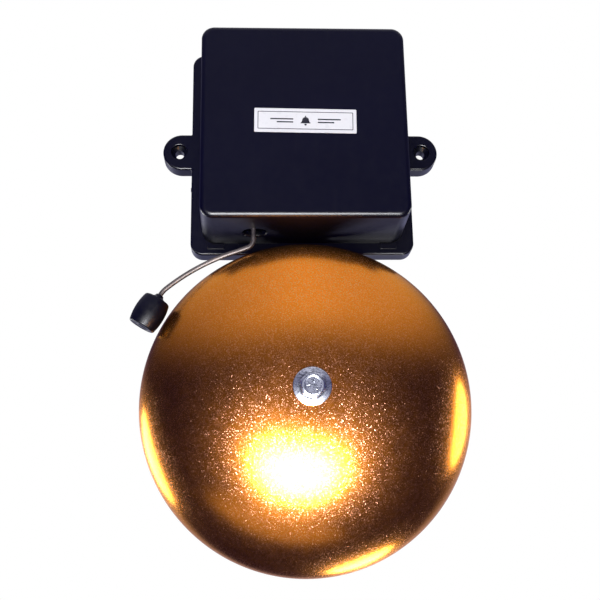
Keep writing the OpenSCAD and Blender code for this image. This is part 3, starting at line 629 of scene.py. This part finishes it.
# raised marks in the dish: three radial bars and six dots of two kinds in turn
marks = []
for i in range(3):
    a = rad(HEX_TURN + 25 + 120 * i)
    bar = ((1.2, -0.42), (3.85, -0.36), (3.85, 0.36), (1.2, 0.42))  # along, across the radius
    outline = [(gong_box.x + u * cos(a) - v * sin(a), gong_box.z + u * sin(a) + v * cos(a))
               for u, v in bar]
    marks.append(slab(outline, gong_box.front + HEAD_H - 0.8, gong_box.front + HEAD_H - 0.02,
                      front_round=0.14, steps=4))
DOTS = ((2.3, 0.5, 0.2, 0.32), (3.2, 0.34, 0.22, 0.2))  # place, radius, side height, top radius
for i in range(6):
    a = rad(HEX_TURN + 55 + 60 * i)
    place, radius, side, top = DOTS[i % 2]
    axis = axis_at(gong_box.x + place * cos(a), gong_box.z + place * sin(a),
                   gong_box.front + HEAD_H - 0.5)
    profile = [(0, 0), (radius, 0), (radius, side), (top, 0.36), (0, 0.38)]
    marks.append(revolve(profile, axis, 16))

SHANK_R, THREAD_ROOT_R, THREAD_PITCH = 3.95, 3.45, 1.25
profile = [(0, -20.0), (3.4, -20.0), (SHANK_R, -19.4)]
for i in range(14):
    z = -19.2 + THREAD_PITCH * i
    profile += [(SHANK_R, z), (THREAD_ROOT_R, z + 0.5), (THREAD_ROOT_R, z + 0.65),
                (SHANK_R, z + 1.15)]
profile += [(SHANK_R, 0.3), (0, 0.3)]
bolt = join([head, revolve(profile, BOLT_AXIS, 48)] + marks)
smooth(bolt, 32)
piece(bolt, "gong_flange_bolt", "bell_body", "bright_zinc", ["gong_bolt"])

# ------------------------------------------------------------------ cover
cover_box = Box("cover")
screw_box = Box("cover_screws")
DRAFT, COVER_ROUND, COVER_WALL, COVER_CORNER = 0.8, 3.4, 2.5, 8.0
CAVITY_ROUND = 1.6
COVER_W, COVER_H = cover_box.width - 2 * DRAFT, cover_box.height - 2 * DRAFT  # less the draft
SCREW_INSET = 3.1
SCREW_X, SCREW_Z = screw_box.width / 2 - SCREW_INSET, screw_box.height / 2 - SCREW_INSET
SCREWS = [(x, z) for x in (-SCREW_X, SCREW_X) for z in (-SCREW_Z, SCREW_Z)]


def cover_ring(outline, inset, out):
    return ring(offset(outline, inset), out, cover_box.x, cover_box.z)


outline = rounded_rect(cover_box.width, cover_box.height, COVER_CORNER + DRAFT, 24)
rings = [cover_ring(outline, 0.35, cover_box.back), cover_ring(outline, 0.1, cover_box.back + 0.08),
         ring(outline, cover_box.back + 0.35, cover_box.x, cover_box.z)]
for a in np.linspace(0, 90, 15):
    rings.append(cover_ring(outline, DRAFT + COVER_ROUND * (1 - cos(rad(a))),
                            cover_box.front - COVER_ROUND + COVER_ROUND * sin(rad(a))))
cover = loft(rings)

outline = rounded_rect(COVER_W - 2 * COVER_WALL, COVER_H - 2 * COVER_WALL,
                       COVER_CORNER - COVER_WALL, 24)
rings = [cover_ring(outline, -0.2, cover_box.back - 1),
         ring(outline, cover_box.back + 0.6, cover_box.x, cover_box.z)]
for a in np.linspace(0, 90, 6):
    rings.append(cover_ring(
        outline, CAVITY_ROUND * (1 - cos(rad(a))),
        cover_box.front - COVER_WALL - CAVITY_ROUND + CAVITY_ROUND * sin(rad(a))))
cavity = loft(rings)
for x, z in SCREWS:  # screw posts
    cut(cavity, peg(x, z, cover_box.back + 2.2, cover_box.front + 5, 4.2, 40))
cut(cover, cavity)
for x, z in SCREWS:  # screw holes
    cut(cover, peg(x, z, cover_box.back, cover_box.back + 19, 1.35, 24))

# the wire's way out through the lower wall, wider towards the outside
EXIT_X, EXIT_OUT, EXIT_R = -30.5, 32.5, 7.25
profile = [(0, 0), (EXIT_R, 0), (EXIT_R, 14.5), (EXIT_R + 0.25, 15.0), (EXIT_R + 0.7, 15.35),
           (EXIT_R + 1.0, 15.5), (EXIT_R + 1.0, 20), (0, 20)]
cut(cover, revolve(profile, axis_at(EXIT_X, cover_box.z0 + 16.0, EXIT_OUT, DOWN), 96))
smooth(cover, 28)
piece(cover, "cover_shell", "bell_body", "navy_plastic", ["cover"])

# ------------------------------------------------------------------ label
label_box = Box("label_plate")
LABEL_W, LABEL_H, LABEL_TILT = 62.4, 15.8, rad(-0.88)
LABEL_FRONT = label_box.front - 0.02
INK_BACK, INK_FRONT = LABEL_FRONT - 0.05, LABEL_FRONT + 0.03
BORDER_INSET, BORDER_SHRINK = 2.05, 0.85  # the border's inner size is this much smaller


def on_label(outline):
    """From the label's centre and tilt to the bell's x and z."""
    c, s = cos(LABEL_TILT), sin(LABEL_TILT)
    return [(x * c - z * s + label_box.x, x * s + z * c + label_box.z) for x, z in outline]


def printed(outline):
    return slab(on_label(outline), INK_BACK, INK_FRONT)


def oval(z, radius_x, radius_z, sides):
    angles = [2 * pi * i / sides for i in range(sides)]
    return [(radius_x * cos(a), z + radius_z * sin(a)) for a in angles]


plate = slab(on_label(rounded_rect(LABEL_W, LABEL_H, 0.6, 5)), label_box.back, LABEL_FRONT,
             front_round=0.1, steps=4)
smooth(plate, 30)
piece(plate, "label_plate_white", "bell_body", "label_white", ["label_plate"])

border_w, border_h = LABEL_W - 2 * BORDER_INSET, LABEL_H - 2 * BORDER_INSET
outer = on_label(rounded_rect(border_w, border_h, 0.5, 4))
inner = on_label(rounded_rect(border_w - BORDER_SHRINK, border_h - BORDER_SHRINK, 0.3, 4))
border = loft([ring(outer, INK_BACK), ring(outer, INK_FRONT), ring(inner, INK_FRONT),
               ring(inner, INK_BACK)], closed=True)
piece(border, "label_border", "bell_body", "label_line")

# a bell sign with a clapper and a top knob, and two bars on each side
bell = [(-3.0, -1.9), (3.0, -1.9), (3.0, -1.45), (2.35, -0.9)]
bell += [(2.05 * cos(rad(180 * i / 8)), 0.3 + 2.0 * sin(rad(180 * i / 8))) for i in range(9)]
bell += [(-2.35, -0.9), (-3.0, -1.45)]
ink = [printed(bell), printed(oval(-2.75, 0.75, 0.55, 20)), printed(oval(2.75, 0.42, 0.42, 16))]
for side in (-1, 1):
    for near, far, z in ((7.5, 21.5, 0.9), (7.5, 17.5, -1.1)):
        x0, x1 = sorted((side * near, side * far))
        ink.append(printed(rect(x0, x1, z - 0.42, z + 0.42)))
piece(join(ink), "label_sign", "bell_body", "label_ink")

# ------------------------------------------------------------------ base
BASE_DEPTH, BASE_W, BASE_CORNER, BASE_WALL = 12.0, 143.0, 8.0, 2.5
BASE_H = Box("base_plate").height
HALF_W, HALF_H = BASE_W / 2, BASE_H / 2
EAR_HOLE_X = 159.4 / 2
EAR_X, EAR_R, EAR_FILLET = EAR_HOLE_X - 1.8, 12.3, 0.8
FLOOR_BACK = BASE_DEPTH - BASE_WALL  # back of the base's front wall
AXIS_HOLES_Z, AXIS_HOLE_R = (-34, 4), 2.7  # two holes on x = 0
STEPPED_X, STEPPED_Z = 46, -18

corner_x, corner_z = HALF_W - BASE_CORNER, HALF_H - BASE_CORNER
fillet_x, fillet_z = HALF_W + EAR_FILLET, EAR_R + EAR_FILLET
right_half = (arc(corner_x, -corner_z, BASE_CORNER, -90, 0, 18)
              + arc(fillet_x, -fillet_z, EAR_FILLET, 180, 90, 10)
              + arc(EAR_X, 0, EAR_R, -90, 90, 48)
              + arc(fillet_x, fillet_z, EAR_FILLET, 270, 180, 10)
              + arc(corner_x, corner_z, BASE_CORNER, 0, 90, 18))
left_half = [(-x, -z) for x, z in right_half]
base = slab(right_half + left_half, 0, BASE_DEPTH, front_round=1.4, back_round=0.25, steps=9)

# the hollow at the back, less its ribs and the stock round the holes
hollow = slab(rounded_rect(BASE_W - 2 * BASE_WALL, BASE_H - 2 * BASE_WALL,
                           BASE_CORNER - BASE_WALL, 12), -1, FLOOR_BACK, front_round=0.8, steps=4)
ribs = [(x - 1, x + 1, -80, 80) for x in (-36, 36)]  # x0, x1, z0, z1
for z in (-36, 0, 36):
    ribs += [(-80, -23, z - 1, z + 1), (23, 80, z - 1, z + 1)]
ribs += [(x - 1, x + 1, -80, 80) for x in (-22, 22)] + [(-23, 23, 28, 30)]
for rib in ribs:
    cut(hollow, block(*rib, 1, 20))
for x, z in SCREWS:
    cut(hollow, peg(x, z, 3, 20, 5, 48))
cut(hollow, peg(STEPPED_X, STEPPED_Z, 3, 20, 11, 64))
cut(base, hollow)

# a notch at the bottom, then the countersunk ear holes and the other holes
cut(base, block(-20.5, 20.5, -90, -66.5, -1, FLOOR_BACK))
EAR_HOLE = [  # radius, out
    (0, -1), (2.9, -1), (2.9, 7.0), (5.2, 9.3), (5.2, BASE_DEPTH - 0.7), (5.3, BASE_DEPTH - 0.3),
    (5.55, BASE_DEPTH - 0.08), (5.9, BASE_DEPTH + 0.01), (5.9, 20), (0, 20)]
SCREW_HOLE = [(0, -1), (3.6, -1), (3.6, 7.5), (1.8, 7.5), (1.8, 30), (0, 30)]
STEPPED_HOLE = [(0, -1), (9.2, -1), (9.2, FLOOR_BACK), (7, FLOOR_BACK), (7, 30), (0, 30)]
for side in (-1, 1):
    cut(base, revolve(EAR_HOLE, axis_at(side * EAR_HOLE_X, 0, 0), 72))
for x, z in SCREWS:
    cut(base, revolve(SCREW_HOLE, axis_at(x, z, 0), 40))
for z in AXIS_HOLES_Z:
    cut(base, peg(0, z, -1, 30, AXIS_HOLE_R, 40))
cut(base, revolve(STEPPED_HOLE, axis_at(STEPPED_X, STEPPED_Z, 0), 64))


# the lip that stands inside the cover
def lip_outline(gap, corner):
    """The cover's cavity outline, smaller by a gap."""
    return rounded_rect(COVER_W - 2 * COVER_WALL - gap, COVER_H - 2 * COVER_WALL - gap, corner, 12)


outer = lip_outline(0.5, COVER_CORNER - COVER_WALL)
inner = lip_outline(3.4, COVER_CORNER - COVER_WALL - 1.5)
LIP = (  # outline, out from the base's front
    (outer, -0.5), (outer, 1.6), (offset(outer, 0.3), 1.95),
    (offset(inner, -0.3), 1.95), (inner, 1.6), (inner, -0.5))
lip = loft([ring(line, BASE_DEPTH + out, cover_box.x, cover_box.z) for line, out in LIP],
           closed=True)
cut(base, lip, "UNION")

# low pads on the flange below the cover
for x0, x1 in ((-60.5, -50), (-41, -33.5), (49.5, 60)):
    pad = slab(rect(x0, x1, cover_box.z0 - 3.8, cover_box.z0 - 0.2), BASE_DEPTH - 0.5,
               BASE_DEPTH + 0.9, front_round=0.35, steps=5)
    cut(base, pad, "UNION")

# low round bosses: x, z, hole radius
BOSSES = [(-52, -38, 1.53), (10, -51, 1.53), (-52, 6, 1.53), (20, 6, 1.53)]
BOSSES += [(0, z, AXIS_HOLE_R) for z in AXIS_HOLES_Z]
for x, z, hole in BOSSES:
    profile = [(4.5, -0.5), (4.5, 1.0), (hole, 1.0), (hole, -0.5)]
    cut(base, revolve(profile, axis_at(x, z, BASE_DEPTH), 40), "UNION")

# gate marks on the flange's left and right edges
for x, z in ((-HALF_W, -24.5), (HALF_W, -47.0)):
    nub = slab(rounded_rect(1.1, 2.4, 0.3, 4), 5.2, 7.4, front_round=0.2, back_round=0.2,
               steps=3, x=x, z=z)
    cut(base, nub, "UNION")
smooth(base, 28)
piece(base, "base_moulding", "bell_body", "navy_plastic", ["base_plate"])

# ------------------------------------------------------------------ striker wire
ROD_OUT, ROD_X, ROD_R = 30.0, -31.5, 1.5
ROD_TOP_Z, FIRST_BEND_Z = -38.0, -66.0
# radius, turn in degrees (+ is counter-clockwise), steps, straight length after the bend
BENDS = ((6.0, -70.46, 42, 10.51), (128.17, 20.13, 24, 0.0), (15.66, 20.67, 12, 13.6))
STRAIGHT_STEPS = 8


def direction(angle):
    return Vector((cos(rad(angle)), sin(rad(angle))))


path = [Vector((ROD_X, ROD_TOP_Z - i * (ROD_TOP_Z - FIRST_BEND_Z) / 10)) for i in range(10)]
here, heading = Vector((ROD_X, FIRST_BEND_Z)), -90.0
for radius, turn, steps, straight in BENDS:
    side = 90 if turn > 0 else -90
    centre = here + radius * direction(heading + side)
    path += [centre + radius * direction(heading - side + turn * i / steps) for i in range(steps)]
    bend_end = centre + radius * direction(heading - side + turn)
    heading += turn
    if straight:
        path += [bend_end + direction(heading) * straight * i / STRAIGHT_STEPS
                 for i in range(STRAIGHT_STEPS)]
    here = bend_end + direction(heading) * straight
path.append(here)
rod = tube([point(p.x, p.y, ROD_OUT) for p in path], ROD_R - 0.01, 32)
smooth(rod, 50)
piece(rod, "striker_wire", "striker", "rod_steel", ["striker_rod"])

# ------------------------------------------------------------------ hammer
# A barrel on the wire's last straight; heights run along it from the last bend's end.
HAMMER_L, BARREL_R, BARREL_END_R, HAMMER_EDGE = 22.1, 9.4, 8.05, 1.15
BORE_R, BORE_DEPTH = ROD_R + 0.03, 14.2
WIDEST_SHIFT = 1.6  # the widest place is this far beyond the middle


def barrel(height):
    t = (height - HAMMER_L / 2 - WIDEST_SHIFT) / (HAMMER_L / 2 - WIDEST_SHIFT)
    return BARREL_R - (BARREL_R - BARREL_END_R) * t ** 2


profile = [(BORE_R, 0.2), (ROD_R + 0.25, 0.0), (1.95, 0.0), (2.2, 0.08), (2.42, 0.35)]
for i in range(1, 12):  # the neck's hollow curve into the shoulder
    a = rad(90 * i / 12)
    profile.append((2.5 + 4.3 * (1 - cos(a)) ** 0.9, 0.5 + 2.25 * sin(a)))
profile += [(7.0, 2.83), (7.45, 2.98), (7.8, 3.22), (8.0, 3.55)]
stations = [3.9 + 0.6 * i for i in range(15)] + [12.75, 13.3] + [13.8 + 0.6 * i for i in range(12)]
profile += [(barrel(h), h) for h in stations]
for a in range(0, 91, 15):
    profile.append((barrel(20.9) - HAMMER_EDGE + HAMMER_EDGE * cos(rad(a)),
                    HAMMER_L - HAMMER_EDGE + HAMMER_EDGE * sin(rad(a))))
profile += [  # the end face with a shallow ring sunk in it, then the bore
    (5.6, HAMMER_L), (5.45, HAMMER_L - 0.05), (5.3, HAMMER_L - 0.18), (3.1, HAMMER_L - 0.2),
    (2.95, HAMMER_L - 0.05), (2.8, HAMMER_L), (0, HAMMER_L), (0, BORE_DEPTH), (BORE_R, BORE_DEPTH)]
along = (cos(rad(heading)), sin(rad(heading)), 0)
hammer = revolve(profile, axis_at(bend_end.x, bend_end.y, ROD_OUT, along), 144)
smooth(hammer, 38)
piece(hammer, "hammer_head", "striker", "hammer_plastic", ["hammer"])

# ------------------------------------------------------------------ windings
# Two coils along x, with a ridge for each turn of enamelled wire.
coil_box = Box("coil_windings")
COIL_IN_R, COIL_OUT_R, WIRE_R = 6.3, coil_box.depth / 2, 0.36
coil_length = coil_box.width - 0.1
wire_count = int(coil_length / (2 * WIRE_R))
wire_pitch = coil_length / wire_count
profile = [(COIL_IN_R, coil_box.x0 + 0.02)]
for i in range(wire_count):
    for a in (170, 130, 90, 50, 10):
        profile.append((
            COIL_OUT_R - WIRE_R + WIRE_R * sin(rad(a)),
            coil_box.x0 + 0.05 + wire_pitch * (i + 0.5) - wire_pitch / 2 * cos(rad(a))))
profile.append((COIL_IN_R, coil_box.x1 - 0.02))
for name, z, nodes in (("winding_1", -15.0, ["coil_windings"]), ("winding_2", -41.0, ())):
    winding = revolve(profile, axis_at(0, z, ROD_OUT, RIGHT), 64)
    smooth(winding, 50, weighted=False)
    piece(winding, name, "bell_body", "enamelled_copper", nodes)

# ------------------------------------------------------------------ return spring
# A coil along x, with a short straight end on each side.
SPRING_X0, SPRING_X1, SPRING_Z = -48.4, -30.1, -22.0
SPRING_R, SPRING_TURNS, TURN_STEPS = 2.2, 15, 20
spring_steps = SPRING_TURNS * TURN_STEPS
path = [point(-50.4, SPRING_Z - SPRING_R, ROD_OUT)]
for i in range(spring_steps + 1):
    a = 2 * pi * i / TURN_STEPS - pi / 2
    path.append(point(SPRING_X0 + (SPRING_X1 - SPRING_X0) * i / spring_steps,
                      SPRING_Z + SPRING_R * sin(a), ROD_OUT + SPRING_R * cos(a)))
path.append(point(-27.9, SPRING_Z - SPRING_R, ROD_OUT))
spring = tube(path, 0.34, 10)
smooth(spring, 60, weighted=False)
flexing_piece(spring, "return_spring_coil", "spring_steel",
              "return_spring")

# ------------------------------------------------------------------ contact leaf and tip
# The leaf is a thin upright strip, narrower towards its upper end.
leaf_box = Box("contact_leaf")
LEAF_STEPS, TAPER_FROM = 16, 9
LEAF_HALF_W, LEAF_TAPER = 4.0, 1.2
x0, x1 = leaf_box.x0 + 0.01, leaf_box.x1 - 0.01
rings = []
for i in range(LEAF_STEPS + 1):
    z = leaf_box.z0 + leaf_box.height * i / LEAF_STEPS
    half = LEAF_HALF_W - LEAF_TAPER * max(0, (i - TAPER_FROM) / (LEAF_STEPS - TAPER_FROM))
    section = ((x0, -half), (x1, -half), (x1, half), (x0, half))
    rings.append([point(x, z, ROD_OUT + across) for x, across in section])
flexing_piece(loft(rings), "contact_leaf_strip", "bronze_part",
              "contact_leaf")

TIP = [  # radius, x from the tip's left end
    (0, 0), (0.85, 0), (1.45, 0.02), (1.5, 0.45), (0.85, 0.55), (0.85, 1.0), (1.6, 1.0),
    (1.7, 1.15), (1.7, 1.5), (1.3, 1.68), (0, 1.7)]
tip = revolve(TIP, axis_at(Box("contact_tip").x0, 24, ROD_OUT, RIGHT), 32)
smooth(tip, 35, weighted=False)
flexing_piece(tip, "contact_tip_rivet", "silver_contact",
              "contact_tip")

# ------------------------------------------------------------------ parts kept from the frame
SMALL_BEVEL, LARGE_BEVEL = 0.12, 0.25
LARGE_BEVEL_PARTS = ("gong_bracket", "mechanism_frame", "armature", "rod_clamp", "contact_post",
                     "terminal_block", "yoke")
for node_name, ob in frame["nodes"].items():
    if ob.hide_render:
        continue
    m = ob.modifiers.new("weld", "WELD")
    m.merge_threshold = 1e-6
    m = ob.modifiers.new("flat", "DECIMATE")
    m.decimate_type, m.angle_limit = "DISSOLVE", rad(0.3)
    m = ob.modifiers.new("edge", "BEVEL")
    m.width = (LARGE_BEVEL if node_name in LARGE_BEVEL_PARTS else SMALL_BEVEL) * MM
    m.segments, m.limit_method, m.angle_limit = 2, "ANGLE", rad(40)
    m.harden_normals = False
    shade_smooth(ob)
    m = ob.modifiers.new("split", "EDGE_SPLIT")
    m.split_angle = rad(36)
    m = ob.modifiers.new("wn", "WEIGHTED_NORMAL")
    m.keep_sharp = True

# ------------------------------------------------------------------ camera
scene = bpy.context.scene
scene.view_settings.view_transform = "Standard"
scene.view_settings.look = "None"
scene.render.film_transparent = False

CAMERA_PLACE = Vector((-31.805, -613.116, -255.856)) * MM
YAW, PITCH, ROLL = -0.0541, 0.2961, 0.0180  # radians, about z, x and y
yaw_turn = Matrix(((cos(YAW), -sin(YAW), 0), (sin(YAW), cos(YAW), 0), (0, 0, 1)))
pitch_turn = Matrix(((1, 0, 0), (0, cos(PITCH), -sin(PITCH)), (0, sin(PITCH), cos(PITCH))))
roll_turn = Matrix(((cos(ROLL), 0, sin(ROLL)), (0, 1, 0), (-sin(ROLL), 0, cos(ROLL))))
view = yaw_turn @ pitch_turn @ roll_turn  # columns: right, forward, up
camera = bpy.data.objects.new("camera", bpy.data.cameras.new("camera"))
COLLECTION.objects.link(camera)
placed = Matrix((view.col[0], view.col[2], -view.col[1])).transposed().to_4x4()
placed.translation = CAMERA_PLACE
camera.matrix_world = placed
camera.data.sensor_width = 36.0
camera.data.lens = 59.31516
camera.data.shift_x, camera.data.shift_y = -0.006815, -0.0712
camera.data.clip_start, camera.data.clip_end = 0.01, 50
scene.camera = camera

# ------------------------------------------------------------------ floor
floor = slab(rect(-6000, 6000, -6000, 6000), 0, 1)
floor.name = "floor"
floor.data.transform(Matrix.Rotation(rad(-90), 4, "X"))
floor.data.transform(Matrix.Translation((0, 0, -1.35)))
k = Mat("floor_pale")
k.set("Base Color", k.ramp(k.noise(3.0, detail=3.0), (0.3, (0.86, 0.86, 0.86)),
                           (0.7, (0.90, 0.90, 0.90))))
k.set("Roughness", 0.8)
k.bump(k.noise(90.0, detail=3.0), depth=0.2, strength=0.2)
floor.data.materials.append(k.material)

# only these show in reflections, so that the rest does not darken the sheen of the gong
REFLECTED = ("gong_shell", "base_moulding", "hammer_head", "striker_wire", "gong_flange_bolt",
             "gong_seat_washer")
for ob in bpy.data.objects:
    if ob.type in ("MESH", "CURVE") and ob.name not in REFLECTED:
        ob.visible_glossy = False

# ------------------------------------------------------------------ lights
# Soft oval panels aimed at the gong. Azimuth is 0 in front and + to the right.
# name, azimuth and elevation in degrees, distance, width and height in metres, power in watts
LIGHTS = (
    ("key_low", -5.2, -32, 1.2, 0.80, 0.66, 90.0),
    ("rim_left", -134, -8, 1.3, 0.42, 0.62, 9.0),
    ("rim_right", 118, -1, 1.3, 0.54, 0.62, 6.8),
    ("rim_low_right", 156.5, -41, 1.3, 0.44, 0.33, 7.5),
    ("front_fill", -15, 18, 1.5, 1.2, 1.2, 21.0),
)
lights = {}
for name, azimuth, elevation, distance, width, height, power in LIGHTS:
    az, el = rad(azimuth), rad(elevation)
    towards = Vector((sin(az) * cos(el), -cos(az) * cos(el), sin(el)))
    lamp = bpy.data.lights.new(name, "AREA")
    lamp.shape, lamp.size, lamp.size_y, lamp.energy = "ELLIPSE", width, height, power
    ob = lights[name] = bpy.data.objects.new(name, lamp)
    COLLECTION.objects.link(ob)
    ob.location = point(gong_box.x, gong_box.z, 50) + towards * distance
    ob.rotation_euler = (-towards).to_track_quat("-Z", "Y").to_euler()
lights["key_low"].visible_diffuse = False
lights["front_fill"].visible_glossy = False

# ------------------------------------------------------------------ world
# White to the camera; to everything else a bright ceiling in dim blue surroundings.
world = bpy.data.worlds.new("room")
scene.world = world
room = Nodes(world)
world_output = room.node("ShaderNodeOutputWorld")
surroundings = room.node("ShaderNodeBackground")
backdrop = room.node("ShaderNodeBackground")
chooser = room.node("ShaderNodeMixShader")
light_path = room.node("ShaderNodeLightPath")
coords = room.node("ShaderNodeTexCoord")
xyz = room.node("ShaderNodeSeparateXYZ")
room.put(xyz.inputs[0], coords.outputs["Generated"])
x, y, z = (xyz.outputs[axis] for axis in "XYZ")


def calc(op, a, b):
    return room.math(op, a, b, 0.0)


def times(a, b):
    return calc("MULTIPLY", a, b)


def fade(value, start, end):
    """0 at start, 1 at end."""
    return room.remap(value, start, end, 0.0, 1.0, interpolation_type="SMOOTHERSTEP")


# a ceiling that dims to the left and right
dim_left = times(calc("MAXIMUM", times(x, -1.0), 0.0), 0.7)
dim_right = times(calc("MAXIMUM", x, 0.0), 0.4)
sides = calc("SUBTRACT", 1.0, calc("ADD", dim_left, dim_right))
ceiling = times(times(fade(z, sin(rad(13)), sin(rad(57))), 1.02), sides)
# a patch straight below, on the front side
low = calc("ADD", z, times(x, 0.3))
below = times(times(fade(low, -0.79, -0.985), calc("SUBTRACT", 1.0, fade(y, -0.12, 0.10))), 0.52)
# a band behind the wall, about level
band = times(fade(y, 0.55, 0.95),
             times(calc("SUBTRACT", 1.0, fade(z, 0.05, 0.35)), fade(z, -0.46, -0.32)))
behind = times(band, 0.50)
warm = room.vector_math("SCALE", (1, 0.985, 0.97), calc("ADD", ceiling, below))
cool = room.vector_math("SCALE", (0.93, 0.94, 1.25), behind)
glow = room.vector_math("ADD", room.vector_math("ADD", warm, cool), (0.006, 0.001, 0.118))
room.put(surroundings.inputs["Color"], glow)
room.put(backdrop.inputs["Color"], (1, 1, 1))
room.put(backdrop.inputs["Strength"], 1.0)
sources = (light_path.outputs["Is Camera Ray"], surroundings.outputs[0], backdrop.outputs[0])
for sock, source in zip(chooser.inputs, sources):
    room.put(sock, source)
room.put(world_output.inputs[0], chooser.outputs[0])
